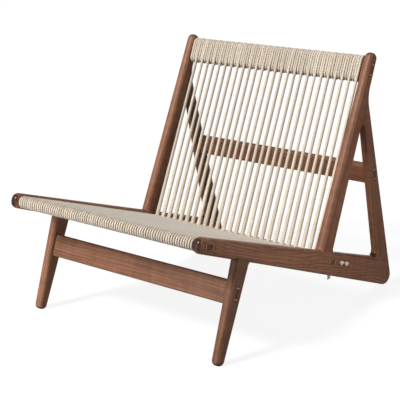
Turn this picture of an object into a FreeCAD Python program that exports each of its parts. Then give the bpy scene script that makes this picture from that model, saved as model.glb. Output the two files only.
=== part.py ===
import FreeCAD, Part
import os
from FreeCAD import Placement, Rotation, Vector
import Sketcher

# A low lounge chair: two triangular side frames of walnut joined by five cross members with wedged through
# tenons, and a seat and back strung with cord. +Z is up, the sitter faces -Y, and the origin is on the floor
# under the middle of the chair. Each side frame is drawn in the YZ plane.

doc = FreeCAD.newDocument("lounge_chair")
dims = doc.addObject("Spreadsheet::Sheet", "Dims")

# Driving dimensions, in millimetres and degrees.
DRIVING_DIMENSIONS = [
    ("overall_width", 650, "over the outer faces of the side frames"),
    ("frame_thickness", 27, "of every side frame member"),
    ("edge_round", 11, "rounding of the long edges of the side frames"),
    # corners of the side frame's outline before they are rounded
    ("tip_top_y", -436.7, "front end of the seat rail, top"),
    ("tip_top_z", 346.9, ""),
    ("tip_under_y", -449.2, "front end of the seat rail, underside"),
    ("tip_under_z", 309.1, ""),
    ("leg_front_y", -299.5, "front edge of the leg at the seat rail"),
    ("leg_front_z", 255.5, ""),
    ("foot_front_y", -376.6, "front corner of the leg's foot"),
    ("foot_front_z", 4.8, ""),
    ("foot_rear_y", -349.8, "rear corner of the leg's foot"),
    ("foot_rear_z", -4.9, ""),
    ("leg_rear_y", -248.1, "rear edge of the leg at the seat rail"),
    ("leg_rear_z", 237.2, ""),
    ("heel_y", 459.6, "rear end of the seat rail, under the strut"),
    ("heel_z", -18.0, ""),
    ("crotch_y", 282.2, "rear edge of the post at the strut"),
    ("crotch_z", 574.5, ""),
    ("head_rear_y", 323.5, "top of the post, rear corner"),
    ("head_rear_z", 683.7, ""),
    ("head_front_y", 293, "top of the post, front corner"),
    ("head_front_z", 696.3, ""),
    ("post_front_y", 69.1, "front edge of the post at the seat rail"),
    ("post_front_z", 189.8, ""),
    # corners of the triangle between post, strut and seat rail
    ("post_rear_y", 128.1, "rear edge of the post at the seat rail"),
    ("post_rear_z", 171.5, ""),
    ("apex_y", 262.4, "where post and strut meet inside the triangle"),
    ("apex_z", 522.8, ""),
    ("strut_front_y", 365.9, "front edge of the strut at the seat rail"),
    ("strut_front_z", 97.6, ""),
    # radii of those corners
    ("tip_radius", 18, "front end of the seat rail"),
    ("head_radius", 15.5, "top of the post"),
    ("foot_radius", 13.5, "foot of the leg"),
    ("heel_radius", 28, "rear end of the seat rail"),
    ("crotch_radius", 80, "rear edge where post and strut meet"),
    ("tight_radius", 2, "post front and leg front at the seat rail"),
    ("blend_radius", 9, "post rear and leg rear at the seat rail"),
    ("apex_radius", 12, "apex of the triangle and foot of the strut"),
    # how the members of a side frame are housed in each other
    ("rail_pitch", 17.26, "fall of the seat rail's top edge"),
    ("rail_under_pitch", 19.75, "fall of the seat rail's underside"),
    ("post_pitch", 69.08, "rise of the post's rear edge"),
    ("housing", 3, "depth of the post's and the strut's housings"),
    ("leg_housing", 8, "depth of the leg's housing in the seat rail"),
    ("post_toe", 4, "how far the post's housing runs past its front edge"),
    ("post_heel", 11, "and past its rear edge"),
    ("strut_toe", 24, "how far the strut's housing runs past its front edge"),
    ("strut_heel", 130, "and past its front edge to the rear"),
    ("strut_head_low", 45, "how far the strut's housing in the post runs below the apex"),
    ("strut_head_high", 31, "and above the crotch"),
    ("leg_toe", 4, "how far the leg's housing runs past its front edge"),
    ("leg_heel", 12, "and past its rear edge"),
    ("margin", 40, "how far a cutting tool reaches past what it cuts"),
    # loose tenons of a side frame: size, and the middle and pitch of each
    ("loose_tenon_long", 40, "half of it in each member"),
    ("loose_tenon_wide", 24, ""),
    ("loose_tenon_thick", 10, ""),
    ("loose_tenon_radius", 4.5, ""),
    ("post_foot_y", 97, "tenon between post and seat rail"),
    ("post_foot_z", 179, ""),
    ("post_foot_pitch", 67.6, ""),
    ("strut_foot_y", 395, "tenon between strut and seat rail"),
    ("strut_foot_z", 86, ""),
    ("strut_foot_pitch", 105, ""),
    ("strut_head_y", 265, "tenon between strut and post"),
    ("strut_head_z", 533, ""),
    ("strut_head_pitch", 159.08, ""),
    ("leg_head_y", -271, "tenon between leg and seat rail"),
    ("leg_head_z", 254, ""),
    ("leg_head_pitch", 70, ""),
    # cross members: middle of the section, pitch of its long side, size and edge radius
    ("front_rail_y", -407, "carries the front of the seat"),
    ("front_rail_z", 315.4, ""),
    ("front_rail_pitch", 161.5, ""),
    ("front_rail_deep", 56, ""),
    ("front_rail_thick", 19, ""),
    ("front_rail_radius", 9, ""),
    ("rear_crossbar_y", 124.5, "carries the rear of the seat and the foot of the back"),
    ("rear_crossbar_z", 143.5, ""),
    ("rear_crossbar_pitch", 162.7, ""),
    ("rear_crossbar_deep", 66, ""),
    ("rear_crossbar_thick", 24, ""),
    ("rear_crossbar_radius", 10, ""),
    ("top_rail_y", 289.8, "carries the top of the back"),
    ("top_rail_z", 646.6, ""),
    ("top_rail_pitch", 67.6, ""),
    ("top_rail_deep", 61.5, ""),
    ("top_rail_thick", 20, ""),
    ("top_rail_radius", 8, ""),
    ("mid_crossbar_y", 325.5, "ties the two struts"),
    ("mid_crossbar_z", 349.7, ""),
    ("mid_crossbar_pitch", 105, ""),
    ("mid_crossbar_deep", 57, ""),
    ("mid_crossbar_thick", 22, ""),
    ("mid_crossbar_radius", 5, ""),
    ("leg_stretcher_y", -302.5, "ties the two legs"),
    ("leg_stretcher_z", 171, ""),
    ("leg_stretcher_pitch", 70.5, ""),
    ("leg_stretcher_deep", 60, ""),
    ("leg_stretcher_thick", 22, ""),
    ("leg_stretcher_radius", 5, ""),
    # through tenons of the cross members and their wedges
    ("tenon_wide", 43, ""),
    ("tenon_thick", 12, ""),
    ("tenon_radius", 5, ""),
    ("wedge_spread", 29, "between the two wedges of a tenon"),
    ("wedge_long", 22, ""),
    ("wedge_butt", 2.6, "thickness of a wedge at the tenon's end"),
    ("wedge_nose", 0.8, "thickness of a wedge at its inner end"),
    # cord
    ("cord_diameter", 7, ""),
    ("back_cord_diameter", 9.8, "the cord plumps up where it hangs free"),
    ("cord_gap", 0.5, "between the cord and the side frames"),
    ("seat_cords_y", 93, "rear end of the seat's cords"),
    ("seat_cords_z", 170.2, ""),
    ("seat_cords_pitch", 162.43, ""),
    ("seat_cords_long", 486.5, ""),
    ("seat_cord_count", 78, ""),
    ("seat_cord_spacing", 7.6, ""),
    ("back_cords_y", 88, "foot of the upright cords"),
    ("back_cords_z", 178, ""),
    ("back_cords_pitch", 68.2, ""),
    ("back_cords_long", 474, ""),
    ("back_cord_count", 26, ""),
    ("back_cord_spacing", 22.6, ""),
    ("back_cords_start", -272.9, "the first, which stands further from its post than the last"),
    # stopper knots of the cord's two ends, and the tag
    ("knots_y", 175.5, "midway between the two knots"),
    ("knots_z", 128, ""),
    ("knots_pitch", 162.7, ""),
    ("knot_spread", 27, ""),
    ("knot_wide", 18, ""),
    ("knot_tall", 13, ""),
    ("knot_deep", 12, ""),
    ("knot_sink", 1, "how far the middle of a knot stands off the rail"),
    ("tag_x", 297.4, "middle of the plain tag on the right seat rail's inner face"),
    ("tag_y", 149, ""),
    ("tag_z", 97, ""),
    ("tag_wide", 14, ""),
    ("tag_long", 30, ""),
    ("tag_thick", 1.2, ""),
    ("tag_radius", 2, ""),
]
for row, (alias, number, note) in enumerate(DRIVING_DIMENSIONS, start=1):
    dims.set(f"A{row}", alias)
    dims.set(f"B{row}", str(number))
    dims.set(f"C{row}", note)
    dims.setAlias(f"B{row}", alias)

doc.recompute()

SIDES = {"left": -1, "right": 1}


def value(expression):
    """The number that an expression over the sheet gives."""
    return float(dims.evalExpression(expression))


def origin_plane(body, role):
    return next(feature for feature in body.Origin.OriginFeatures if feature.Role == role)


def new_sketch(body, role, name):
    sketch = body.newObject("Sketcher::SketchObject", name)
    sketch.AttachmentSupport = [(origin_plane(body, role), "")]
    sketch.MapMode = "FlatFace"
    return sketch


def add_polygon(sketch, corners):
    """A closed outline of straight lines, each corner held by two expressions over the sheet."""
    points = [Vector(value(across), value(up), 0) for across, up in corners]
    lines = [
        sketch.addGeometry(Part.LineSegment(start, end))
        for start, end in zip(points, points[1:] + points[:1])
    ]
    for line, following in zip(lines, lines[1:] + lines[:1]):
        sketch.addConstraint(Sketcher.Constraint("Coincident", line, 2, following, 1))
    for line, (across, up) in zip(lines, corners):
        for direction, expression in (("DistanceX", across), ("DistanceY", up)):
            index = sketch.addConstraint(
                Sketcher.Constraint(direction, -1, 1, line, 1, value(expression))
            )
            sketch.setExpression(f"Constraints[{index}]", expression)


def rectangle_corners(across, up):
    """The corners of a rectangle about the sketch's origin."""
    signs = ((-1, -1), (1, -1), (1, 1), (-1, 1))
    return [(f"{sign_a} * ({across}) / 2", f"{sign_u} * ({up}) / 2") for sign_a, sign_u in signs]


def add_circle(sketch, across, radius):
    """A circle on the sketch's first axis."""
    centre = Vector(value(across), 0, 0)
    circle = sketch.addGeometry(Part.Circle(centre, Vector(0, 0, 1), value(radius)))
    sketch.addConstraint(Sketcher.Constraint("PointOnObject", circle, 3, -1))
    index = sketch.addConstraint(Sketcher.Constraint("DistanceX", -1, 1, circle, 3, value(across)))
    sketch.setExpression(f"Constraints[{index}]", across)
    index = sketch.addConstraint(Sketcher.Constraint("Radius", circle, value(radius)))
    sketch.setExpression(f"Constraints[{index}]", radius)


def add_pad(body, sketch, name, length, symmetric=True):
    pad = body.newObject("PartDesign::Pad", name)
    pad.Profile = sketch
    pad.SideType = "Symmetric" if symmetric else "One side"
    pad.Length = value(length)
    pad.setExpression("Length", length)
    doc.recompute()
    return pad


def add_pocket(body, sketch, name):
    """Cuts the sketch right through the body, and makes sure that it does."""
    before = body.Shape.Volume
    pocket = body.newObject("PartDesign::Pocket", name)
    pocket.Profile = sketch
    pocket.Type = "ThroughAll"
    pocket.SideType = "Symmetric"
    doc.recompute()
    if body.Shape.Volume >= before:
        raise RuntimeError(f"{body.Label}: {name} cuts nothing")
    return pocket


def add_fillet(body, name, radius, chosen):
    """Rounds the edges of the body's tip that the function chosen picks."""
    tip = body.Tip
    names = [f"Edge{i}" for i, edge in enumerate(tip.Shape.Edges, start=1) if chosen(edge)]
    fillet = body.newObject("PartDesign::Fillet", name)
    fillet.Base = (tip, names)
    fillet.Radius = value(radius)
    fillet.setExpression("Radius", radius)
    doc.recompute()
    return fillet


def along(axis):
    """Picks straight edges that run along X, Y or Z."""
    def chosen(edge):
        if edge.Curve.TypeId != "Part::GeomLine":
            return False
        return abs(abs(getattr(edge.Curve.Direction, axis)) - 1) < 1e-6
    return chosen


def at_corners(corners):
    """Picks the edges along X that stand at the given corners of the YZ plane."""
    places = [(value(across), value(up)) for across, up in corners]

    def chosen(edge):
        if not along("x")(edge):
            return False
        point = edge.Vertexes[0].Point
        return any(abs(point.y - y) < 0.01 and abs(point.z - z) < 0.01 for y, z in places)
    return chosen


def place(thing, name, sideways="0"):
    """Puts a piece at the sheet's NAME_y and NAME_z, turned about X by NAME_pitch."""
    thing.Placement = Placement(
        Vector(value(sideways), value(f"Dims.{name}_y"), value(f"Dims.{name}_z")),
        Rotation(Vector(1, 0, 0), value(f"Dims.{name}_pitch")),
    )
    thing.setExpression("Placement.Base.x", sideways)
    thing.setExpression("Placement.Base.y", f"Dims.{name}_y")
    thing.setExpression("Placement.Base.z", f"Dims.{name}_z")
    thing.setExpression("Placement.Rotation.Angle", f"Dims.{name}_pitch")


def bar(label, across, up, length, radius, edges="x"):
    """A straight bar about the origin, its section in the YZ plane, with rounded edges."""
    body = doc.addObject("PartDesign::Body", label)
    section = new_sketch(body, "YZ_Plane", f"{label}_section")
    add_polygon(section, rectangle_corners(across, up))
    add_pad(body, section, f"{label}_pad", length)
    add_fillet(body, f"{label}_edges", radius, along(edges))
    return body


def prism(label, corners):
    """A prism across both side frames that marks out one member's share of them."""
    body = doc.addObject("PartDesign::Body", label)
    outline = new_sketch(body, "YZ_Plane", f"{label}_outline")
    add_polygon(outline, corners)
    add_pad(body, outline, f"{label}_pad", "Dims.overall_width + Dims.margin")
    return body


def combine(kind, label, base, tool):
    result = doc.addObject(kind, label)
    result.Base = base
    result.Tool = tool
    return result


def corner(name):
    return (f"Dims.{name}_y", f"Dims.{name}_z")


def beside(name, step_y, step_z):
    """A corner of the outline moved by two expressions."""
    return (f"Dims.{name}_y + {step_y}", f"Dims.{name}_z + {step_z}")


# Side frames. Each is drawn whole, so that its rounded edges run through the joints, and is then shared out
# between its members.

OUTLINE = [
    "tip_top", "post_front", "head_front", "head_rear", "crotch", "heel",
    "leg_rear", "foot_rear", "foot_front", "leg_front", "tip_under",
]
TRIANGLE = ["post_rear", "apex", "strut_front"]
CORNER_RADII = {
    "tip_radius": ["tip_top", "tip_under"],
    "head_radius": ["head_front", "head_rear"],
    "foot_radius": ["foot_front", "foot_rear"],
    "heel_radius": ["heel"],
    "crotch_radius": ["crotch"],
    "tight_radius": ["post_front", "leg_front"],
    "blend_radius": ["post_rear", "leg_rear"],
    "apex_radius": ["apex", "strut_front"],
}
FRAME_MIDDLE = "(Dims.overall_width - Dims.frame_thickness) / 2"


def frame_blank(side, sign):
    body = doc.addObject("PartDesign::Body", f"frame_blank_{side}")
    outline = new_sketch(body, "YZ_Plane", f"frame_outline_{side}")
    add_polygon(outline, [corner(name) for name in OUTLINE])
    add_polygon(outline, [corner(name) for name in TRIANGLE])
    add_pad(body, outline, f"frame_pad_{side}", "Dims.frame_thickness")
    for radius, names in CORNER_RADII.items():
        chosen = at_corners([corner(name) for name in names])
        add_fillet(body, f"{radius}_{side}", f"Dims.{radius}", chosen)

    face = value("Dims.frame_thickness / 2")

    def on_a_face(edge):
        return all(abs(abs(vertex.X) - face) < 1e-4 for vertex in edge.Vertexes)
    add_fillet(body, f"frame_edges_{side}", "Dims.edge_round", on_a_face)

    # The feet of the leg and of the seat rail are cut flat on the floor.
    floor = new_sketch(body, "YZ_Plane", f"floor_{side}")
    add_polygon(floor, [
        ("-Dims.overall_width", "-Dims.margin"), ("Dims.overall_width", "-Dims.margin"),
        ("Dims.overall_width", "0"), ("-Dims.overall_width", "0"),
    ])
    add_pocket(body, floor, f"flat_feet_{side}")
    body.Placement.Base.x = value(f"{sign} * {FRAME_MIDDLE}")
    body.setExpression("Placement.Base.x", f"{sign} * {FRAME_MIDDLE}")
    return body


# Shares of the members, as prisms. The foot of the post lies along the seat rail's top edge, let in by the
# housing, and so does the foot of the strut. The head of the strut lies along the post's rear edge.
FALL = "tan(Dims.rail_pitch * 1 deg)"
UNDER_FALL = "tan(Dims.rail_under_pitch * 1 deg)"
POST_Y = "cos(Dims.post_pitch * 1 deg)"
POST_Z = "sin(Dims.post_pitch * 1 deg)"


def up_the_post(name, up, rearward):
    """A corner of the outline moved along the post and square to it."""
    return beside(
        name,
        f"({up}) * {POST_Y} + ({rearward}) * {POST_Z}",
        f"({up}) * {POST_Z} - ({rearward}) * {POST_Y}",
    )


post_share = prism("post_share", [
    beside("post_front", "-Dims.post_toe", f"Dims.post_toe * {FALL} - Dims.housing"),
    beside("post_rear", "Dims.post_heel", f"-Dims.post_heel * {FALL} - Dims.housing"),
    beside("post_rear", "Dims.post_heel", "Dims.margin / 2"),
    beside("crotch", "2 * Dims.margin", "0"),
    beside("head_rear", "Dims.margin", "Dims.margin"),
    beside("head_front", "-Dims.margin", "Dims.margin"),
    beside("post_front", "-Dims.post_toe", "Dims.margin"),
])
strut_share = prism("strut_share", [
    up_the_post("apex", "-Dims.strut_head_low", "-Dims.housing"),
    up_the_post("apex", "-Dims.strut_head_low", "Dims.margin / 4"),
    beside("strut_front", "-Dims.strut_toe", f"Dims.strut_toe * {FALL} - Dims.housing"),
    beside("strut_front", "Dims.strut_heel", f"-Dims.strut_heel * {FALL} - Dims.housing"),
    up_the_post("crotch", "Dims.strut_head_high", "Dims.margin"),
    up_the_post("crotch", "Dims.strut_head_high", "-Dims.housing"),
])
leg_share = prism("leg_share", [
    beside("leg_front", "-Dims.leg_toe", f"Dims.leg_toe * {UNDER_FALL} + Dims.leg_housing"),
    beside("leg_rear", "Dims.leg_heel", f"-Dims.leg_heel * {UNDER_FALL} + Dims.leg_housing"),
    beside("leg_rear", "Dims.leg_heel", "-Dims.margin"),
    beside("foot_rear", "Dims.margin", "-Dims.margin / 2"),
    beside("foot_front", "-Dims.margin", "-Dims.margin / 2"),
    beside("leg_front", "-Dims.margin", "-Dims.margin"),
    beside("leg_front", "-Dims.leg_toe", "0"),
])

CROSS_MEMBERS = ["front_rail", "rear_crossbar", "top_rail", "mid_crossbar", "leg_stretcher"]
LOOSE_TENONS = ["post_foot", "strut_foot", "strut_head", "leg_head"]

mortises = []
for name in CROSS_MEMBERS:
    mortise = bar(
        f"{name}_mortise", "Dims.tenon_wide", "Dims.tenon_thick",
        "Dims.overall_width + Dims.margin", "Dims.tenon_radius",
    )
    place(mortise, name)
    mortises.append(mortise)


def drilled_knot_holes():
    """The two holes in the right seat rail that the cord's ends come out of."""
    body = doc.addObject("PartDesign::Body", "knot_holes")
    circles = new_sketch(body, "YZ_Plane", "knot_hole_circles")
    for sign in (-1, 1):
        add_circle(circles, f"{sign} * Dims.knot_spread / 2", "Dims.cord_diameter / 2")
    add_pad(body, circles, "knot_hole_pad", "Dims.frame_thickness + Dims.margin")
    place(body, "knots", FRAME_MIDDLE)
    return body


knot_holes = drilled_knot_holes()
sub_parts = []

for side, sign in SIDES.items():
    middle = f"{sign} * {FRAME_MIDDLE}"
    blank = frame_blank(side, sign)

    tenons = []
    for name in LOOSE_TENONS:
        tenon = bar(
            f"{name}_tenon_{side}", "Dims.loose_tenon_long", "Dims.loose_tenon_wide",
            "Dims.loose_tenon_thick", "Dims.loose_tenon_radius", edges="y",
        )
        place(tenon, name, middle)
        tenons.append(tenon)
    group = doc.addObject("Part::Compound", f"loose_tenons_{side}")
    group.Links = tenons

    joinery = doc.addObject("Part::MultiFuse", f"joinery_{side}")
    joinery.Shapes = mortises + tenons + ([knot_holes] if side == "right" else [])

    post_and_head = combine("Part::Common", f"post_and_head_{side}", blank, post_share)
    rail_and_foot = combine("Part::Cut", f"rail_and_foot_{side}", blank, post_share)
    rail_and_leg = combine("Part::Cut", f"rail_and_leg_{side}", rail_and_foot, strut_share)
    solid_members = {
        "back_post": combine("Part::Cut", f"solid_post_{side}", post_and_head, strut_share),
        "rear_strut": combine("Part::Common", f"solid_strut_{side}", blank, strut_share),
        "front_leg": combine("Part::Common", f"solid_leg_{side}", blank, leg_share),
        "seat_rail": combine("Part::Cut", f"solid_rail_{side}", rail_and_leg, leg_share),
    }
    for member, solid in solid_members.items():
        sub_parts.append(combine("Part::Cut", f"{member}_{side}", solid, joinery))
    sub_parts.append(group)


# Cross members. Each has a through tenon at both ends, split by two wedges.

def add_wedge_outlines(sketch):
    """The four wedges of a cross member, seen across its section's long side."""
    tenon_end = "Dims.overall_width / 2"
    for end in (-1, 1):
        for row in (-1, 1):
            middle = f"{row} * Dims.wedge_spread / 2"
            add_polygon(sketch, [
                (f"{end} * {tenon_end}", f"{middle} - Dims.wedge_butt / 2"),
                (f"{end} * {tenon_end}", f"{middle} + Dims.wedge_butt / 2"),
                (f"{end} * ({tenon_end} - Dims.wedge_long)", f"{middle} + Dims.wedge_nose / 2"),
                (f"{end} * ({tenon_end} - Dims.wedge_long)", f"{middle} - Dims.wedge_nose / 2"),
            ])


def cross_member(name):
    member = bar(
        name, f"Dims.{name}_deep", f"Dims.{name}_thick",
        "Dims.overall_width - 2 * Dims.frame_thickness", f"Dims.{name}_radius",
    )
    tenon = new_sketch(member, "YZ_Plane", f"{name}_tenon")
    add_polygon(tenon, rectangle_corners("Dims.tenon_wide", "Dims.tenon_thick"))
    add_pad(member, tenon, f"{name}_tenon_pad", "Dims.overall_width")
    end = value("Dims.overall_width / 2")

    def on_tenon(edge):
        return along("x")(edge) and any(abs(abs(vertex.X) - end) < 0.01 for vertex in edge.Vertexes)
    add_fillet(member, f"{name}_tenon_edges", "Dims.tenon_radius", on_tenon)
    slots = new_sketch(member, "XY_Plane", f"{name}_wedge_slots")
    add_wedge_outlines(slots)
    add_pocket(member, slots, f"{name}_slots")
    place(member, name)
    return member


def wedges(name):
    body = doc.addObject("PartDesign::Body", f"{name}_wedges")
    outlines = new_sketch(body, "XY_Plane", f"{name}_wedge_outlines")
    add_wedge_outlines(outlines)
    add_pad(body, outlines, f"{name}_wedge_pad", "Dims.tenon_thick")
    place(body, name)
    return body


for name in CROSS_MEMBERS:
    sub_parts.append(cross_member(name))
    sub_parts.append(wedges(name))


# Cord. The wound stretches are sleeves one cord thick round the members that carry them.

def wrap(name):
    wound = bar(
        f"{name}_wrap", f"Dims.{name}_deep + 2 * Dims.cord_diameter",
        f"Dims.{name}_thick + 2 * Dims.cord_diameter",
        "Dims.overall_width - 2 * Dims.frame_thickness - 2 * Dims.cord_gap",
        f"Dims.{name}_radius + Dims.cord_diameter",
    )
    core = bar(
        f"{name}_core", f"Dims.{name}_deep", f"Dims.{name}_thick",
        "Dims.overall_width", f"Dims.{name}_radius",
    )
    wound.Label = f"{name}_wound"
    sleeve = combine("Part::Cut", f"{name}_wrap_sleeve", wound, core)
    sleeve.Label = f"{name}_wrap"
    place(sleeve, name)
    return sleeve


for name in ("front_rail", "rear_crossbar", "top_rail"):
    sub_parts.append(wrap(name))


def cord_row(label, start, count, spacing, diameter):
    """Straight cords side by side, their feet on the local X axis and their length along local Y."""
    body = doc.addObject("PartDesign::Body", label)
    section = new_sketch(body, "XZ_Plane", f"{label}_section")
    add_circle(section, start, f"{diameter} / 2")
    cord = add_pad(body, section, f"{label}_first", f"Dims.{label}_long", symmetric=False)
    if cord.Shape.BoundBox.YMax < 1:
        cord.Reversed = True
    row = body.newObject("PartDesign::LinearPattern", f"{label}_row")
    row.Originals = [cord]
    row.Direction = (origin_plane(body, "X_Axis"), [""])
    row.Length = value(f"({count} - 1) * {spacing}")
    row.setExpression("Length", f"({count} - 1) * {spacing}")
    row.Occurrences = int(value(count))
    row.setExpression("Occurrences", count)
    body.Tip = row
    place(body, label)
    return body


sub_parts.append(cord_row(
    "seat_cords", "-1 * (Dims.seat_cord_count - 1) * Dims.seat_cord_spacing / 2",
    "Dims.seat_cord_count", "Dims.seat_cord_spacing", "Dims.cord_diameter",
))
sub_parts.append(cord_row(
    "back_cords", "Dims.back_cords_start",
    "Dims.back_cord_count", "Dims.back_cord_spacing", "Dims.back_cord_diameter",
))


def cord_knots():
    """Two flattened knots outside the right seat rail, with the cord that runs in through it."""
    pieces = []
    for number, sign in enumerate((-1, 1), start=1):
        knot = doc.addObject("Part::Ellipsoid", f"knot_{number}")
        for radius, size in (("Radius1", "tall"), ("Radius2", "deep"), ("Radius3", "wide")):
            setattr(knot, radius, value(f"Dims.knot_{size} / 2"))
            knot.setExpression(radius, f"Dims.knot_{size} / 2")
        knot.Placement.Base = Vector(
            value("Dims.frame_thickness / 2 + Dims.knot_sink"), value(f"{sign} * Dims.knot_spread / 2"), 0
        )
        knot.setExpression("Placement.Base.x", "Dims.frame_thickness / 2 + Dims.knot_sink")
        knot.setExpression("Placement.Base.y", f"{sign} * Dims.knot_spread / 2")
        pieces.append(knot)
    body = doc.addObject("PartDesign::Body", "knot_tails")
    circles = new_sketch(body, "YZ_Plane", "knot_tail_circles")
    for sign in (-1, 1):
        add_circle(circles, f"{sign} * Dims.knot_spread / 2", "Dims.cord_diameter / 2")
    add_pad(body, circles, "knot_tail_pad", "Dims.frame_thickness")
    whole = doc.addObject("Part::MultiFuse", "whole_knots")
    whole.Shapes = pieces + [body]
    return whole


whole_knots = cord_knots()
place(whole_knots, "knots", FRAME_MIDDLE)
whole_knots.Label = "cord_knots"
sub_parts.append(whole_knots)

tag = bar("blank_tag", "Dims.tag_wide", "Dims.tag_long", "Dims.tag_thick", "Dims.tag_radius")
tag.Placement.Base = Vector(value("Dims.tag_x"), value("Dims.tag_y"), value("Dims.tag_z"))
for axis in "xyz":
    tag.setExpression(f"Placement.Base.{axis}", f"Dims.tag_{axis}")
sub_parts.append(tag)


doc.recompute()

for thing in doc.Objects:
    if {"Invalid", "Error"} & set(thing.State):
        raise RuntimeError(f"{thing.Label} failed to compute: {thing.State}")
for piece in sub_parts:
    if piece.Shape.isNull() or not piece.Shape.isValid():
        raise RuntimeError(f"{piece.Label} has no valid shape")

os.makedirs("parts", exist_ok=True)
for piece in sub_parts:
    piece.Shape.exportStep(f"parts/{piece.Label}.step")
    box = piece.Shape.BoundBox
    print(
        f"{piece.Label:22s} solids {len(piece.Shape.Solids):3d}  volume {piece.Shape.Volume / 1000:7.1f} cm3",
        f"x {box.XMin:6.1f} {box.XMax:6.1f}  y {box.YMin:6.1f} {box.YMax:6.1f}",
        f"z {box.ZMin:6.1f} {box.ZMax:6.1f}",
    )
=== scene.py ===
import math

import bpy
import numpy as np
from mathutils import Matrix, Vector


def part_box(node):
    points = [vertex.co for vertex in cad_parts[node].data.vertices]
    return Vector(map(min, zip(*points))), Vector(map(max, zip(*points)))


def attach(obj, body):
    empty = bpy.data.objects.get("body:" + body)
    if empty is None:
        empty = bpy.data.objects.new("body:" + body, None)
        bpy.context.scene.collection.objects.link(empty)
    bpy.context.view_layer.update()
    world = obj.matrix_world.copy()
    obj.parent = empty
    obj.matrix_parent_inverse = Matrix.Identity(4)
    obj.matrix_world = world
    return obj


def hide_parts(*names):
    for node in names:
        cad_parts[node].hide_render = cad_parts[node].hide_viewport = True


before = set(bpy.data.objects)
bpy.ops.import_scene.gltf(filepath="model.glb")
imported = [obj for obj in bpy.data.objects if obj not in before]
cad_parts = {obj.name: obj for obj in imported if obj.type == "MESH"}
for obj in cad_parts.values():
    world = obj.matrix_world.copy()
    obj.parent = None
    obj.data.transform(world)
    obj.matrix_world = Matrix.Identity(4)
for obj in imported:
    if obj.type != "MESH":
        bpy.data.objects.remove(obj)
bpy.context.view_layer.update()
dice = np.random.default_rng(11)

# The cord, in metres: wound on the rails, free in the back, packed close in the seat, and in the knots.
CORD = 0.007
LOOSE_CORD = 0.0098
TIGHT_CORD = 0.0066
KNOT_CORD = 0.0058
# Three strands are laid together, one turn in every LAY of the cord's length.
LAY = 0.024
STRANDS = 3
# How deep the valleys between the strands go, as a share of the cord's radius.
GROOVE = 0.11
TIGHT_GROOVE = 0.07
KNOT_GROOVE = 0.08
# A cord is swept as rings of points, and the line it follows is first read at fine steps.
RING_STEP = 0.0024
RING_POINTS = 12
FINE_STEP = 0.0005

# How the chair is strung: the upright cords are warps, and one goes down after every three seat cords.
WARPS = 26
HEAD_START, HEAD_PITCH = -0.2678, 0.0224
FOOT_START, FOOT_PITCH = -0.2785, 0.0228
TURNS_PER_WARP = 3
SEAT_CORDS = 78
SEAT_PITCH = 0.0076
# Where the warps come down through the seat, along Y.
CROSSING = 0.088
# How much of the way round its rail each end of a seat cord is hooked.
FRONT_HOOK = 0.80
REAR_HOOK = 0.70
# Two seat cords left of the middle stand a little apart, fully so from PARTS_OVER behind the front rail.
PARTED_AFTER, PARTED = 16, 0.0012
PARTS_OVER = 0.05
# How far to each side the warps and the turns on the top rail reach, just short of the posts.
WARP_REACH = 0.2972
TURN_REACH = 0.2955
# A warp lies on the top rail's front from this far below its upper edge to this far above its lower edge.
RAIL_MARGIN = 0.012
# How far cords stray from their places, as standard deviations. The seat cords also rise and fall.
SEAT_STRAY, SEAT_LIFT = 0.00022, 0.00018
WARP_STRAY = 0.0005
TURN_STRAY = 0.0002


# Frame readings

def vertices(node):
    """The vertices of a CAD node as an array."""
    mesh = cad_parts[node].data
    flat = np.empty(len(mesh.vertices) * 3)
    mesh.vertices.foreach_get("co", flat)
    return flat.reshape(-1, 3)


class Section:
    """The line that a cord's middle follows round a wrapped rail, in the YZ plane.

    long runs along the section's long side, towards the front or up. face is square to it, up or forward."""

    CORNER_INSET = 0.0015
    CORNER_POINTS = 14
    UP_AND_FORWARD = (-1, 1.5)

    def __init__(self, node, towards):
        yz = vertices(node)[:, 1:]
        self.centre = (yz.min(0) + yz.max(0)) / 2
        axes = np.linalg.eigh(np.cov((yz - self.centre).T))[1]
        self.long = axes[:, 1] * np.sign(axes[:, 1] @ towards)
        self.face = np.array([self.long[1], -self.long[0]])
        if self.face @ self.UP_AND_FORWARD < 0:
            self.face = -self.face
        size = np.abs((yz - self.centre) @ np.column_stack([self.long, self.face])).max(0)
        self.half_long, self.half_thick = size - CORD / 2

    def loop(self, proud=0.0):
        """Once round, starting under the middle and going first towards the long end."""
        a, b = self.half_long + proud, self.half_thick + proud
        r = b - self.CORNER_INSET
        points = []
        for turn, (sign_a, sign_b) in enumerate(((1, -1), (1, 1), (-1, 1), (-1, -1))):
            for angle in np.linspace(-90, 0, self.CORNER_POINTS) + 90 * turn:
                angle = math.radians(angle)
                along, square = r * math.cos(angle), r * math.sin(angle)
                points.append((sign_a * (a - r) + along, sign_b * (b - r) + square))
        points = np.array([(0, -b)] + points + [(0, -b)])
        return self.centre + points[:, :1] * self.long + points[:, 1:] * self.face


def length_along(path):
    """How far along the path each of its points is."""
    return np.concatenate([[0], np.cumsum(np.linalg.norm(np.diff(path, axis=0), axis=1))])


def respaced(path, step):
    """The same path with points at even steps."""
    run = length_along(path)
    count = max(int(round(run[-1] / step)) + 1, 4)
    even = np.linspace(0, run[-1], count)
    return np.column_stack([np.interp(even, run, path[:, k]) for k in range(path.shape[1])])


def softened(path, rounds=2):
    """The path with its kinks eased, its ends kept."""
    path = path.copy()
    for _ in range(rounds):
        path[1:-1] = (path[:-2] + 2 * path[1:-1] + path[2:]) / 4
    return path


def tangents(path):
    """The direction of the path at each of its points."""
    along = np.gradient(path, axis=0)
    return along / np.linalg.norm(along, axis=1)[:, None]


# Meshes

def put_in_scene(name, contents):
    """A new object at the origin."""
    thing = bpy.data.objects.new(name, contents)
    bpy.context.scene.collection.objects.link(thing)
    return thing


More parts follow.
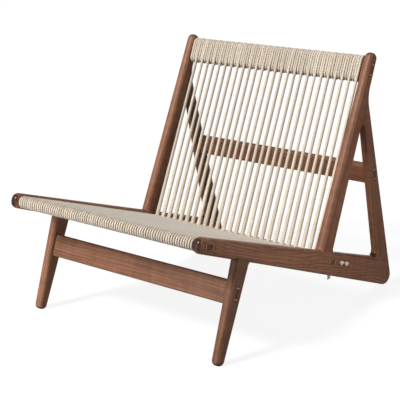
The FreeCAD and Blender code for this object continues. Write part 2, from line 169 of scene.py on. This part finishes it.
class Cords:
    """Gathers cords into one mesh. Each is swept as three strands laid together."""

    def __init__(self):
        self.points, self.quads, self.caps, self.uvs, self.cap_uvs = [], [], [], [], []
        self.shades, self.count = [], 0

    def add(self, path, sides=None, width=1.0, radius=CORD / 2, groove=GROOVE, shade=None):
        """path: points a few millimetres apart. sides: which way is sideways at each point, or X.

        width: how wide the cord is sideways against its thickness, at each point or all over.
        shade: 0 for the greyest to 1 for the palest, or else drawn at random."""
        path = np.asarray(path, float)
        n, m = len(path), RING_POINTS
        direction = tangents(path)
        if sides is None:
            sides = np.tile([1.0, 0, 0], (n, 1))
        sides = sides - (sides * direction).sum(1)[:, None] * direction
        sides /= np.linalg.norm(sides, axis=1)[:, None]
        ups = np.cross(direction, sides)
        run = length_along(path)
        phase = dice.uniform(0, 2 * math.pi)
        spot = np.arange(m) / m
        lobe = np.abs(((spot * STRANDS) % 1) - 0.5) * 2
        profile = radius * (1 - groove * (1 - lobe) ** 1.5)
        angle = 2 * math.pi * (spot[None, :] + run[:, None] / LAY) + phase
        across = (profile * np.cos(angle)) * np.broadcast_to(width, n)[:, None]
        up = profile * np.sin(angle)
        ring = path[:, None, :] + across[..., None] * sides[:, None, :] + up[..., None] * ups[:, None, :]
        self.points.append(ring.reshape(-1, 3))
        self.add_faces(n)
        self.add_uvs(run, spot)
        tint = dice.uniform(0, 1) if shade is None else shade
        # The groove column is 1 deep between the strands: the cord material paints shade there.
        self.shades.append(np.column_stack([np.full(n * m, tint), np.tile(1 - lobe, n)]))
        self.count += n * m

    def add_faces(self, rings):
        """The quads between a cord's rings, and the caps at its ends."""
        index = self.count + np.arange(rings * RING_POINTS).reshape(rings, RING_POINTS)
        after = np.roll(index, -1, axis=1)
        self.quads.append(np.stack([index[:-1], after[:-1], after[1:], index[1:]], axis=-1).reshape(-1, 4))
        self.caps += [index[0][::-1], index[-1]]

    def add_uvs(self, run, spot):
        """U is the distance along the cord in metres, and V goes from 0 to 1 round it."""
        quads = len(run) - 1, RING_POINTS
        along = np.broadcast_to(run[:-1, None], quads)
        ahead = np.broadcast_to(run[1:, None], quads)
        left = np.broadcast_to(spot, quads)
        right = left + 1 / RING_POINTS
        uv = np.stack([along, left, along, right, ahead, right, ahead, left], axis=-1)
        self.uvs.append(uv.reshape(-1, 2))
        for end in (0, run[-1]):
            self.cap_uvs.append(np.column_stack([np.full(RING_POINTS, end), spot]))

    def piece(self, name, material):
        """The gathered cords as one object."""
        points = np.concatenate(self.points)
        quads = np.concatenate(self.quads)
        caps = np.array(self.caps)
        mesh = bpy.data.meshes.new(name)
        mesh.vertices.add(len(points))
        mesh.vertices.foreach_set("co", points.ravel())
        corners = np.concatenate([quads.ravel(), caps.ravel()]).astype(np.int32)
        sizes = np.concatenate([np.full(len(quads), 4), np.full(len(caps), RING_POINTS)]).astype(np.int32)
        mesh.loops.add(len(corners))
        mesh.loops.foreach_set("vertex_index", corners)
        mesh.polygons.add(len(sizes))
        mesh.polygons.foreach_set("loop_start", (np.cumsum(sizes) - sizes).astype(np.int32))
        mesh.polygons.foreach_set("use_smooth", np.ones(len(sizes), bool))
        uv = mesh.uv_layers.new(name="cord")
        uv.data.foreach_set("uv", np.concatenate(self.uvs + self.cap_uvs).ravel())
        shades = np.concatenate(self.shades)
        for column, label in enumerate(("tint", "groove")):
            layer = mesh.attributes.new(label, "FLOAT", "POINT")
            layer.data.foreach_set("value", shades[:, column].astype(np.float32))
        mesh.update(calc_edges=True)
        mesh.validate()
        made = put_in_scene(name, mesh)
        mesh.materials.append(material)
        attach(made, "root")
        return made


# Materials

def new_material(name):
    """A material with its node tree and its shader."""
    material = bpy.data.materials.new(name)
    material.use_nodes = True
    tree = material.node_tree
    shader = next(node for node in tree.nodes if node.type == "BSDF_PRINCIPLED")
    return material, tree, shader


class Nodes:
    """Short ways to add shader nodes to one tree."""

    def __init__(self, tree):
        self.tree = tree

    def link(self, source, target):
        self.tree.links.new(source, target)

    def add(self, kind, settings=(), **inputs):
        """A node. inputs: by name, or as i0, i1 and so on by number, each an output to link or a constant."""
        node = self.tree.nodes.new(kind)
        for name, setting in dict(settings).items():
            setattr(node, name, setting)
        for name, given in inputs.items():
            numbered = name[0] == "i" and name[1:].isdigit()
            socket = node.inputs[int(name[1:])] if numbered else node.inputs[name]
            if isinstance(given, bpy.types.NodeSocket):
                self.link(given, socket)
            else:
                socket.default_value = given
        return node

    def math(self, operation, first, second=0.0):
        return self.add("ShaderNodeMath", {"operation": operation}, i0=first, i1=second).outputs[0]

    def noise(self, vector, detail, roughness=0.5):
        node = self.add("ShaderNodeTexNoise", Vector=vector, Scale=1.0, Detail=detail, Roughness=roughness)
        return node.outputs["Fac"]

    def scaled(self, vector, scale, move=(0, 0, 0)):
        return self.add("ShaderNodeMapping", Vector=vector, Scale=scale, Location=move).outputs[0]

    def ramp(self, factor, stops):
        """stops: (place, colour) pairs."""
        node = self.add("ShaderNodeValToRGB", Fac=factor)
        elements = node.color_ramp.elements
        while len(elements) < len(stops):
            elements.new(0.5)
        for element, (place, colour) in zip(elements, stops):
            element.position = place
            element.color = (*colour, 1)
        return node.outputs["Color"]

    def mix(self, factor, first, second, blend="MIX"):
        """Inputs 6 and 7 and output 2 are the node's colours."""
        settings = {"data_type": "RGBA", "blend_type": blend}
        return self.add("ShaderNodeMix", settings, i0=factor, i6=first, i7=second).outputs[2]

    def between(self, value, low, high, to_low=0.0, to_high=1.0):
        """The value carried over from one range to another."""
        node = self.add("ShaderNodeMapRange", i0=value, i1=low, i2=high, i3=to_low, i4=to_high)
        return node.outputs[0]


def srgb(red, green, blue):
    """A colour given as it looks on screen, 0 to 255, in linear light."""
    def linear(level):
        level /= 255
        return level / 12.92 if level <= 0.04045 else ((level + 0.055) / 1.055) ** 2.4
    return linear(red), linear(green), linear(blue)


WALNUT_DARK = srgb(96, 60, 41)
WALNUT_DEEP = srgb(119, 78, 56)
WALNUT_MID = srgb(137, 93, 68)
WALNUT_PALE = srgb(153, 108, 81)
PORE = srgb(40, 25, 18)
RING_WIDTH = 0.0045
# A wave texture of this scale repeats once in a metre.
ONE_WAVE = 0.314


def growth_rings(n, board, pith):
    """The rings of the log round its pith, bent so that no line on the board runs quite straight."""
    wander = n.noise(n.scaled(board, (1.6, 9, 9), pith), 3.0)
    log = n.add("ShaderNodeMapping", Vector=board, Location=pith).outputs[0]
    aside, up = n.math("MULTIPLY", wander, 0.05), n.math("MULTIPLY", wander, 0.07)
    bend = n.add("ShaderNodeCombineXYZ", i1=aside, i2=up).outputs[0]
    bent = n.add("ShaderNodeVectorMath", {"operation": "ADD"}, i0=log, i1=bend).outputs[0]
    return n.add(
        "ShaderNodeTexWave", {"wave_type": "RINGS", "rings_direction": "X"},
        Vector=bent, Scale=ONE_WAVE / RING_WIDTH, Distortion=0.8, Detail=3.0,
    ).outputs["Fac"]


def darkened_ends(n, colour, board, pith, end_grain, end_dark):
    """The colour with its end grain turned dark, by the share end_dark."""
    rays = n.noise(n.scaled(board, (30, 320, 320), pith), 4.0)
    dark_end = n.ramp(rays, ((0.35, srgb(32, 20, 14)), (0.65, srgb(52, 33, 25))))
    return n.mix(n.math("MULTIPLY", end_grain, end_dark), colour, dark_end)


def walnut(name, grain, seed, end_dark, tone, bands):
    """Oiled walnut whose grain runs along the direction grain. Each board is cut from its own place in a log.

    tone: under 1 for a darker member, a darker board, with painted shade on the left rear strut. bands: how
    strongly the growth rings show."""
    material, tree, shader = new_material(name)
    n = Nodes(tree)
    place = tree.nodes.new("ShaderNodeTexCoord")
    turn = Vector(grain).rotation_difference(Vector((1, 0, 0))).to_euler()
    board = n.add("ShaderNodeMapping", Vector=place.outputs["Object"], Rotation=turn).outputs[0]
    cut = np.random.default_rng(seed)
    pith = (cut.uniform(-1, 1), cut.uniform(0.03, 0.09), cut.uniform(0.05, 0.1))

    rings = growth_rings(n, board, pith)
    streaks = n.noise(n.scaled(board, (4.0, 190, 190), pith), 5.0, 0.66)
    flame = n.noise(n.scaled(board, (3.0, 22, 22), pith), 2.0)
    ripple = n.noise(n.scaled(board, (55, 14, 14), pith), 2.0)
    figure = n.math("MULTIPLY", rings, bands)
    for part, share in ((streaks, 0.50), (flame, 0.24), (ripple, 0.19)):
        figure = n.math("ADD", figure, n.math("MULTIPLY", part, share))
    tones = (0.35, WALNUT_DARK), (0.46, WALNUT_DEEP), (0.56, WALNUT_MID), (0.69, WALNUT_PALE)
    colour = n.ramp(figure, tones)

    pores = n.noise(n.scaled(board, (45, 1500, 1500)), 2.0)
    pore = n.between(pores, 0.60, 0.70)
    fibres = n.noise(n.scaled(board, (14, 520, 520), pith), 3.0)
    colour = n.mix(n.between(fibres, 0.3, 0.7, 0.0, 0.16), colour, WALNUT_DARK + (1,))
    colour = n.mix(n.math("MULTIPLY", pore, 0.5), colour, PORE + (1,))

    facing = n.add(
        "ShaderNodeVectorMath", {"operation": "DOT_PRODUCT"}, i0=place.outputs["Normal"], i1=tuple(grain)
    ).outputs["Value"]
    end_grain = n.between(n.math("ABSOLUTE", facing), 0.40, 0.80)
    colour = darkened_ends(n, colour, board, pith, end_grain, end_dark)
    # Darkened by tone, which on the left rear strut is painted shade.
    colour = n.mix(1.0, colour, (tone, tone, tone, 1), "MULTIPLY")
    n.link(colour, shader.inputs["Base Color"])

    rough = n.between(n.math("ADD", streaks, n.math("MULTIPLY", pore, 0.4)), 0.3, 1.0, 0.38, 0.56)
    rough = n.math("SUBTRACT", rough, n.math("MULTIPLY", end_grain, 0.2))
    n.link(rough, shader.inputs["Roughness"])
    relief = n.math("SUBTRACT", n.math("MULTIPLY", fibres, 0.35), n.math("MULTIPLY", pore, 0.8))
    bump = n.add("ShaderNodeBump", Height=relief, Strength=0.35, Distance=0.0002)
    n.link(bump.outputs[0], shader.inputs["Normal"])
    shader.inputs["Specular IOR Level"].default_value = 0.22
    return material


def pale_wedge():
    """Ash wedges, seen as thin pale lines in the dark tenon ends."""
    material, tree, shader = new_material("wedge_wood")
    n = Nodes(tree)
    place = tree.nodes.new("ShaderNodeTexCoord").outputs["Object"]
    grain = n.noise(n.scaled(place, (40, 900, 900)), 3.0)
    colour = n.ramp(grain, ((0.3, srgb(150, 118, 88)), (0.7, srgb(196, 164, 130))))
    n.link(colour, shader.inputs["Base Color"])
    n.link(n.between(grain, 0.2, 0.8, 0.5, 0.65), shader.inputs["Roughness"])
    return material


# The palest tone of the cord, reached mostly by the copies that paint light on it.
CORD_PALEST_AND_LIT = srgb(246, 238, 224)
CORD_PALE = srgb(220, 208, 191)
CORD_MID = srgb(202, 190, 174)
CORD_GREY = srgb(192, 180, 163)
CORD_SHADE = srgb(142, 124, 103)
CORD_FLECK = srgb(120, 100, 76)


def laid_cord_material(name, painted_light_lift=0.0):
    """Matt twisted cord, with painted shade making it a little darker between its strands.

    painted_light_lift: how far its tones are moved up the ramp, which paints light on a lighter copy of the
    same cord."""
    material, tree, shader = new_material(name)
    n = Nodes(tree)
    uv = n.add("ShaderNodeUVMap", {"uv_map": "cord"}).outputs[0]
    tint = n.add("ShaderNodeAttribute", {"attribute_name": "tint"}).outputs["Fac"]
    groove = n.add("ShaderNodeAttribute", {"attribute_name": "groove"}).outputs["Fac"]
    shifted = n.add("ShaderNodeCombineXYZ", i0=n.math("MULTIPLY", tint, 37.0), i1=tint).outputs[0]
    strand = n.add("ShaderNodeVectorMath", {"operation": "ADD"}, i0=uv, i1=shifted).outputs[0]
    patches = n.noise(n.scaled(strand, (22, 1, 1)), 3.0)
    fibres = n.noise(n.scaled(strand, (260, 44, 1)), 4.0, 0.65)
    flecks = n.noise(n.scaled(strand, (620, 26, 1)), 1.0)
    tone = n.math("ADD", n.math("MULTIPLY", patches, 0.6), n.math("MULTIPLY", tint, 0.4))
    # Painted light: the lift makes a lighter copy of the same cord, bright as if better lit.
    tone = n.math("ADD", tone, painted_light_lift)
    colour = n.ramp(tone, ((0.25, CORD_GREY), (0.5, CORD_MID), (0.75, CORD_PALE), (1.0, CORD_PALEST_AND_LIT)))
    colour = n.mix(n.between(fibres, 0.35, 0.75, 0.0, 0.35), colour, CORD_SHADE + (1,))
    colour = n.mix(n.between(flecks, 0.68, 0.78, 0.0, 0.4), colour, CORD_FLECK + (1,))
    # Painted shade: the colour darkens towards CORD_SHADE deep in the grooves between the strands, where
    # shade falls.
    deep = n.math("POWER", groove, 2.0)
    colour = n.mix(n.math("MULTIPLY", deep, 0.45), colour, CORD_SHADE + (1,))
    n.link(colour, shader.inputs["Base Color"])
    n.link(n.between(fibres, 0.2, 0.8, 0.72, 0.92), shader.inputs["Roughness"])
    bump = n.add("ShaderNodeBump", Height=fibres, Strength=0.5, Distance=0.0004)
    n.link(bump.outputs[0], shader.inputs["Normal"])
    shader.inputs["Sheen Weight"].default_value = 0.25
    shader.inputs["Sheen Roughness"].default_value = 0.5
    shader.inputs["Specular IOR Level"].default_value = 0.25
    return material


THREAD_WIDTH = 0.0008


def woven_tag_material():
    """Plain grey tape in a fine plain weave."""
    material, tree, shader = new_material("tag_tape")
    n = Nodes(tree)
    place = tree.nodes.new("ShaderNodeTexCoord").outputs["Object"]
    thread = ONE_WAVE / THREAD_WIDTH
    down = n.add("ShaderNodeTexWave", {"bands_direction": "Y"}, Vector=place, Scale=thread).outputs["Fac"]
    across = n.add("ShaderNodeTexWave", {"bands_direction": "Z"}, Vector=place, Scale=thread).outputs["Fac"]
    weave = n.math("MULTIPLY", down, across)
    colour = n.ramp(weave, ((0.0, srgb(158, 160, 158)), (1.0, srgb(214, 216, 212))))
    n.link(colour, shader.inputs["Base Color"])
    bump = n.add("ShaderNodeBump", Height=weave, Strength=0.4, Distance=0.0003)
    n.link(bump.outputs[0], shader.inputs["Normal"])
    shader.inputs["Roughness"].default_value = 0.8
    return material


# Wood: every CAD member keeps its shape and gets a board of its own

def lengthwise(node):
    """The direction a straight member runs in, upwards, found from the spread of its vertices."""
    points = vertices(node)
    axes = np.linalg.eigh(np.cov((points - points.mean(0)).T))[1]
    direction = Vector(axes[:, 2])
    return direction if direction.z >= 0 else -direction


# The members made darker than the rest: on the left rear strut, which lies in shade behind the back cords,
# this is painted shade; on the others, a darker board.
TONES_AND_PAINTED_SHADE = {
    "front_leg_right": 0.74, "rear_strut_left": 0.62, "rear_strut_right": 0.85, "back_post_right": 0.92,
    "leg_stretcher": 0.72,
}
# How strongly the rings show: more on the seat rails, as in the photo, than on the other boards.
RAIL_BANDS, BANDS = 0.14, 0.07
# How far the end grain is darkened, on the side frames and on the tenons and cross members.
FRAME_END_DARK, TENON_END_DARK = 0.92, 0.5
# Each group of boards takes its seeds from its own number up.
SIDE_SEEDS = {"left": 0, "right": 10}
TENON_SEED = 30
CROSS_SEED = 40


def boards():
    """The direction of the grain and the seed of each wooden member."""
    found = {}
    for number, side in enumerate(("left", "right")):
        for k, member in enumerate(("seat_rail", "back_post", "rear_strut", "front_leg")):
            found[f"{member}_{side}"] = (lengthwise(f"{member}_{side}"), SIDE_SEEDS[side] + k)
        found[f"loose_tenons_{side}"] = (Vector((0, 1, 0)), TENON_SEED + number)
    for k, member in enumerate(("front_rail", "rear_crossbar", "top_rail", "mid_crossbar", "leg_stretcher")):
        found[member] = (Vector((1, 0, 0)), CROSS_SEED + k)
    return found


def dress_wood():
    """A material for each wooden member, and one for all the wedges."""
    cut_boards = boards()
    wedge = pale_wedge()
    for node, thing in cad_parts.items():
        if node in cut_boards:
            grain, seed = cut_boards[node]
            end_dark = FRAME_END_DARK if seed < TENON_SEED else TENON_END_DARK
            bands = RAIL_BANDS if node.startswith("seat_rail") else BANDS
            tone = TONES_AND_PAINTED_SHADE.get(node, 1.0)
            thing.material_slots[0].material = walnut(f"walnut_{node}", grain, seed, end_dark, tone, bands)
        elif node.endswith("_wedges"):
            thing.material_slots[0].material = wedge


# Cord work

TANGENT_ROUNDS = 20


def tangent_line(front_loop, rear_loop):
    """Where a line laid over the tops of two loops touches each of them, as two indices."""
    normal = np.array([0.3, 0.95])
    for _ in range(TANGENT_ROUNDS):
        touch = np.argmax(front_loop @ normal), np.argmax(rear_loop @ normal)
        line = rear_loop[touch[1]] - front_loop[touch[0]]
        normal = np.array([-line[1], line[0]])
        normal *= np.sign(normal[1])
    return touch


def on_from(loop, start, step, length):
    """Points of a closed loop from the point start, one way or the other, for a length."""
    ring = loop[:-1]
    order = (start + step * np.arange(len(ring))) % len(ring)
    path = ring[order]
    return path[length_along(path) <= length]


# A warp pushes the seat cords beside it apart by up to PUSH, over a longer stretch in front than behind.
PUSH = 0.0020
PUSH_REACH_FRONT, PUSH_REACH_BEHIND = 0.030, 0.012
PUSH_WIDTH = 0.012


def crowding(x, run_from_crossing, warp_places):
    """How far a seat cord is pushed aside where the warps come down between the seat cords."""
    reach = np.where(run_from_crossing < 0, PUSH_REACH_FRONT, PUSH_REACH_BEHIND)
    push = np.exp(-((run_from_crossing / reach) ** 2))
    nearest = warp_places[np.argmin(np.abs(warp_places - x))]
    gap = abs(x - nearest)
    return push * np.sign(x - nearest) * PUSH * max(0.0, 1 - gap / PUSH_WIDTH)


front = Section("front_rail_wrap", (-1, 0.3))
rear = Section("rear_crossbar_wrap", (-1, 0.3))
head = Section("top_rail_wrap", (0.3, 1))


def seat_path():
    """The run of a seat cord in YZ: round the front rail, over to the rear crossbar and round that.

    It comes with the distances along it at which the straight span starts and ends."""
    front_loop = respaced(front.loop(), FINE_STEP)
    rear_loop = respaced(rear.loop(), FINE_STEP)
    front_touch, rear_touch = tangent_line(front_loop, rear_loop)
    front_girth = length_along(front_loop)[-1]
    rear_girth = length_along(rear_loop)[-1]
    front_hook = on_from(front_loop, front_touch, -1, front_girth * FRONT_HOOK)
    rear_hook = on_from(rear_loop, rear_touch, 1, rear_girth * REAR_HOOK)
    path = np.concatenate([front_hook[::-1], rear_hook])
    start_of_span = length_along(front_hook)[-1]
    end_of_span = start_of_span + np.linalg.norm(rear_hook[0] - front_hook[0])
    return path, start_of_span, end_of_span


def crossing_point(base, run, span_start):
    """Which point of a seat cord, once past the front rail, is nearest to where the warps cross it."""
    too_early = np.where(run < span_start, np.inf, 0)
    return np.argmin(np.abs(base[:, 0] - CROSSING) + too_early)


# How wide a seat cord is against its thickness: pinched round the front rail, and fuller on the span.
PINCHED, FULLER = 0.88, 1.1
FILLS_OUT_OVER = 0.04
# It is squeezed again where the warps cross it.
SQUEEZE, SQUEEZE_REACH = 0.16, 0.014
# The range that the shades of the seat cords are drawn from.
SEAT_SHADES = (0.4, 1.0)


def string_seat(material):
    """The seat cords, as four pieces."""
    yz, span_start, span_end = seat_path()
    base = respaced(yz, RING_STEP)
    run = length_along(base)
    places = (np.arange(SEAT_CORDS) - (SEAT_CORDS - 1) / 2) * SEAT_PITCH
    warps = FOOT_START + np.arange(WARPS) * FOOT_PITCH
    crossing = run[crossing_point(base, run, span_start)]
    on_span = np.clip((run - span_start) / (span_end - span_start), 0, 1)
    hooked = np.clip((span_start - run) / span_start, 0, 1)
    width = np.interp(run, (0, span_start, span_start + FILLS_OUT_OVER), (PINCHED, PINCHED, FULLER))
    width = width - SQUEEZE * np.exp(-(((run - crossing) / SQUEEZE_REACH) ** 2))
    made = []
    for number, group in enumerate(np.array_split(np.arange(SEAT_CORDS), 4), start=1):
        cords = Cords()
        for i in group:
            x = places[i] + dice.normal(0, SEAT_STRAY)
            lift = dice.normal(0, SEAT_LIFT) * np.sin(on_span * math.pi)
            sideways = x + crowding(x, run - crossing, warps)
            from_gap = i - PARTED_AFTER - 0.5
            parting = PARTED * np.sign(from_gap) * math.exp(-abs(from_gap) / 2)
            sideways = sideways + parting * np.clip((run - span_start) / PARTS_OVER, 0, 1)
            sideways = sideways + hooked * SEAT_PITCH * 0.5
            path = softened(np.column_stack([sideways, base[:, 0], base[:, 1] + lift]))
            shade = dice.uniform(*SEAT_SHADES)
            cords.add(path, width=width, radius=TIGHT_CORD / 2, groove=TIGHT_GROOVE, shade=shade)
        made.append(cords.piece(f"seat_cording_{number}", material))
    return made


def nearest_on(ring, section, long, face):
    """Which point of a ring is nearest to a place given along the section's long side and square to it."""
    local = (ring - section.centre) @ np.column_stack([section.long, section.face])
    return np.argmin(np.linalg.norm(local - (long, face), axis=1))


# How far outside the wound cord a warp runs round the rear crossbar, and for how many fine steps under it.
WARP_PROUD = CORD * 0.95
TUCK_POINTS = 90
# How far in front of the place where it leaves the rail a warp has not begun its way down.
STILL_ON_RAIL = 0.002
# How wide a warp is on its way down, against LOOSE_CORD: narrow at the top, and spread over the seat's edge.
WARP_SWELL = ((0, 0.78), (0.04, 0.84), (0.12, 0.90), (0.45, 0.96), (0.75, 1.20), (1, 1.52))


def warp_path():
    """The run of a warp in YZ, with the places where it leaves the top rail and reaches the seat.

    It starts on the back of the top rail, a little below the middle, and ends under the rear crossbar."""
    ring = respaced(head.loop(), FINE_STEP)[:-1]
    start = nearest_on(ring, head, -head.half_long * 0.2, -head.half_thick)
    end = nearest_on(ring, head, head.half_long - RAIL_MARGIN, head.half_thick)
    step = 1 if ((end - start) % len(ring)) < len(ring) / 2 else -1
    over = ring[(start + step * np.arange(((end - start) * step) % len(ring) + 1)) % len(ring)]
    leaves = head.centre - head.long * (head.half_long - RAIL_MARGIN) + head.face * head.half_thick
    foot = rear.centre + rear.long * (rear.half_long + CORD * 0.6) + rear.face * (rear.half_thick * 0.9)
    ring = respaced(rear.loop(WARP_PROUD), FINE_STEP)[:-1]
    meet = nearest_on(ring, rear, rear.half_long + WARP_PROUD, -rear.half_thick * 0.1)
    tuck = ring[(meet - np.arange(TUCK_POINTS)) % len(ring)]
    yz = softened(respaced(np.concatenate([over, [leaves], [foot], tuck]), RING_STEP), 6)
    return yz, leaves, foot


def string_back(material):
    """The warps: each comes over the top rail, runs straight down and goes in under the rear crossbar."""
    yz, leaves, foot = warp_path()
    down = np.clip((leaves[1] - yz[:, 1]) / (leaves[1] - foot[1]), 0, 1)
    over_rail = yz[:, 0] > leaves[0] - STILL_ON_RAIL
    down = np.where(over_rail, 0, down)
    swell = np.interp(down, *zip(*WARP_SWELL))
    made = []
    for number, group in enumerate(np.array_split(np.arange(WARPS), 2), start=1):
        cords = Cords()
        for k in group:
            x = HEAD_START + k * HEAD_PITCH + down * (FOOT_START - HEAD_START + k * (FOOT_PITCH - HEAD_PITCH))
            x = x + dice.normal(0, WARP_STRAY) * np.sin(down * math.pi)
            x = np.minimum(x, WARP_REACH - swell * LOOSE_CORD / 2)
            cords.add(np.column_stack([x, yz]), width=swell, radius=LOOSE_CORD / 2)
        made.append(cords.piece(f"back_warp_{number}", material))
    return made


def wind_top_rail(material):
    """The turns beside and between the warps on the top rail."""
    loop = respaced(head.loop(), RING_STEP)
    run = length_along(loop)
    pitch = HEAD_PITCH / TURNS_PER_WARP
    reach = TURN_REACH - CORD / 2
    first = -int((HEAD_START + reach) / pitch)
    last = int((reach - HEAD_START) / pitch)
    lean = (run / run[-1] - 0.5) * pitch * 0.5
    cords = Cords()
    for turn in range(first, last + 1):
        if turn % TURNS_PER_WARP == 0 and 0 <= turn < WARPS * TURNS_PER_WARP:
            continue
        x = HEAD_START + turn * pitch + lean + dice.normal(0, TURN_STRAY)
        cords.add(softened(np.column_stack([x, loop])))
    return cords.piece("top_rail_winding", material)


def transported(path):
    """A side vector at each point of a path that turns every way, without sudden twists."""
    directions = tangents(path)
    side = np.cross(directions[0], (0.2, 0.5, 0.8))
    sides = []
    for direction in directions:
        side = side - (side @ direction) * direction
        side /= np.linalg.norm(side)
        sides.append(side)
    return np.array(sides)


# How far apart the two knots are, and the size of a knot's bends along the rail, square to it and outwards.
KNOT_SPACING = 0.027
KNOT_LONG, KNOT_HIGH, KNOT_PROUD = 0.0022, 0.0014, 0.0012
KNOT_POINTS = 60


def tie_knots(material):
    """The stopper knots of the cord's two ends, each a trefoil."""
    low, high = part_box("cord_knots")
    rail = np.array(lengthwise("seat_rail_right"))
    square = np.cross(rail, (1, 0, 0))
    rail_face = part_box("seat_rail_right")[1].x
    middle = np.array(((high.x + rail_face) / 2, (low.y + high.y) / 2, (low.z + high.z) / 2))
    t = np.linspace(0, 2 * math.pi, KNOT_POINTS)
    across = np.sin(t) + 2 * np.sin(2 * t)
    up = np.cos(t) - 2 * np.cos(2 * t)
    out = -np.sin(3 * t)
    cords = Cords()
    for sign in (-1, 1):
        centre = middle + sign * rail * KNOT_SPACING / 2
        path = centre + np.outer(across, rail) * KNOT_LONG + np.outer(up, square) * KNOT_HIGH
        path = path + np.outer(out, (1, 0, 0)) * KNOT_PROUD
        # shade=1.0 takes the palest tone, which with the knotted cord's lift paints light on the knots.
        cords.add(path, sides=transported(path), radius=KNOT_CORD / 2, groove=KNOT_GROOVE, shade=1.0)
    return cords.piece("cord_end_knots", material)


# Stage

FLOOR_REACH = 40.0


def lay_floor():
    """A pale floor that glows, and neither lights the chair nor shows in it."""
    r = FLOOR_REACH
    mesh = bpy.data.meshes.new("floor")
    mesh.from_pydata([(-r, -r, 0), (r, -r, 0), (r, r, 0), (-r, r, 0)], [], [(0, 1, 2, 3)])
    floor = put_in_scene("floor", mesh)
    material, _, shader = new_material("pale_floor")
    shader.inputs["Base Color"].default_value = (0.13, 0.13, 0.13, 1)
    shader.inputs["Roughness"].default_value = 0.9
    shader.inputs["Specular IOR Level"].default_value = 0.0
    shader.inputs["Emission Color"].default_value = (1, 1, 1, 1)
    shader.inputs["Emission Strength"].default_value = 0.87
    mesh.materials.append(material)
    floor.visible_diffuse = False
    floor.visible_glossy = False


def light_world():
    """A faint white light from all round."""
    world = bpy.data.worlds.new("studio")
    bpy.context.scene.world = world
    world.use_nodes = True
    world.node_tree.nodes["Background"].inputs["Color"].default_value = (1, 1, 1, 1)
    world.node_tree.nodes["Background"].inputs["Strength"].default_value = 0.24


# name, azimuth and elevation in degrees, strength, softness in degrees
SUNS = (
    ("key", -18, 41.5, 4.0, 13),
    ("front", -24, 6, 0.4, 40),
)
# name, width and height, place, direction from which the lamp shines, energy, spread in degrees
LAMPS = (
    ("side", (1.4, 0.9), (0.80, 0.0, 0.42), (1, 0, 0), 1.9, 110),
    ("bounce", (1.5, 0.6), (-0.15, -1.0, 0.03), (0, -0.75, -0.45), 4.5, 140),
    ("behind", (1.6, 0.8), (-0.3, 1.6, 0.5), (-0.1, 1, 0), 5.0, 140),
)


def hang_lights():
    """The suns, and the lamps that the camera doesn't see."""
    for name, azimuth, elevation, strength, softness in SUNS:
        lamp = bpy.data.lights.new(name, "SUN")
        lamp.energy = strength
        lamp.angle = math.radians(softness)
        thing = put_in_scene(name, lamp)
        a, e = math.radians(azimuth), math.radians(elevation)
        towards = Vector((math.sin(a) * math.cos(e), -math.cos(a) * math.cos(e), math.sin(e)))
        thing.rotation_euler = towards.to_track_quat("Z", "Y").to_euler()

    for name, size, place, shines_from, energy, spread in LAMPS:
        lamp = bpy.data.lights.new(name, "AREA")
        lamp.shape = "RECTANGLE"
        lamp.size, lamp.size_y = size
        lamp.energy = energy
        lamp.spread = math.radians(spread)
        thing = put_in_scene(name, lamp)
        thing.location = place
        thing.rotation_euler = Vector(shines_from).to_track_quat("Z", "X").to_euler()
        thing.visible_camera = False


def aim_camera():
    """The photo's view, from the right and a little above."""
    camera = bpy.data.cameras.new("camera")
    camera.sensor_width = 36
    camera.lens = 103.83
    camera.clip_end = 200
    thing = put_in_scene("camera", camera)
    stands_at = Vector((1.9253, -2.4031, 1.1277))
    looks_at = Vector((0.0937, -0.1613, 0.3382))
    thing.location = stands_at
    thing.rotation_mode = "QUATERNION"
    thing.rotation_quaternion = (looks_at - stands_at).to_track_quat("-Z", "Y")
    bpy.context.scene.camera = thing


bpy.context.scene.view_settings.view_transform = "Standard"
aim_camera()
lay_floor()
light_world()
hang_lights()
dress_wood()
cord_material = laid_cord_material("laid_cord")
seat = string_seat(cord_material)
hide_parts("seat_cords", "front_rail_wrap", "rear_crossbar_wrap")
# Painted light: the warps get a slightly lighter copy of the same cord, as if lit more evenly.
back = string_back(laid_cord_material("hanging_cord", 0.05))
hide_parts("back_cords")
winding = wind_top_rail(cord_material)
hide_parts("top_rail_wrap")
# Painted light: the knots get a much lighter copy of the same cord, as if brightly lit.
knots = tie_knots(laid_cord_material("knotted_cord", 0.4))
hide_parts("cord_knots")
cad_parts["blank_tag"].material_slots[0].material = woven_tag_material()
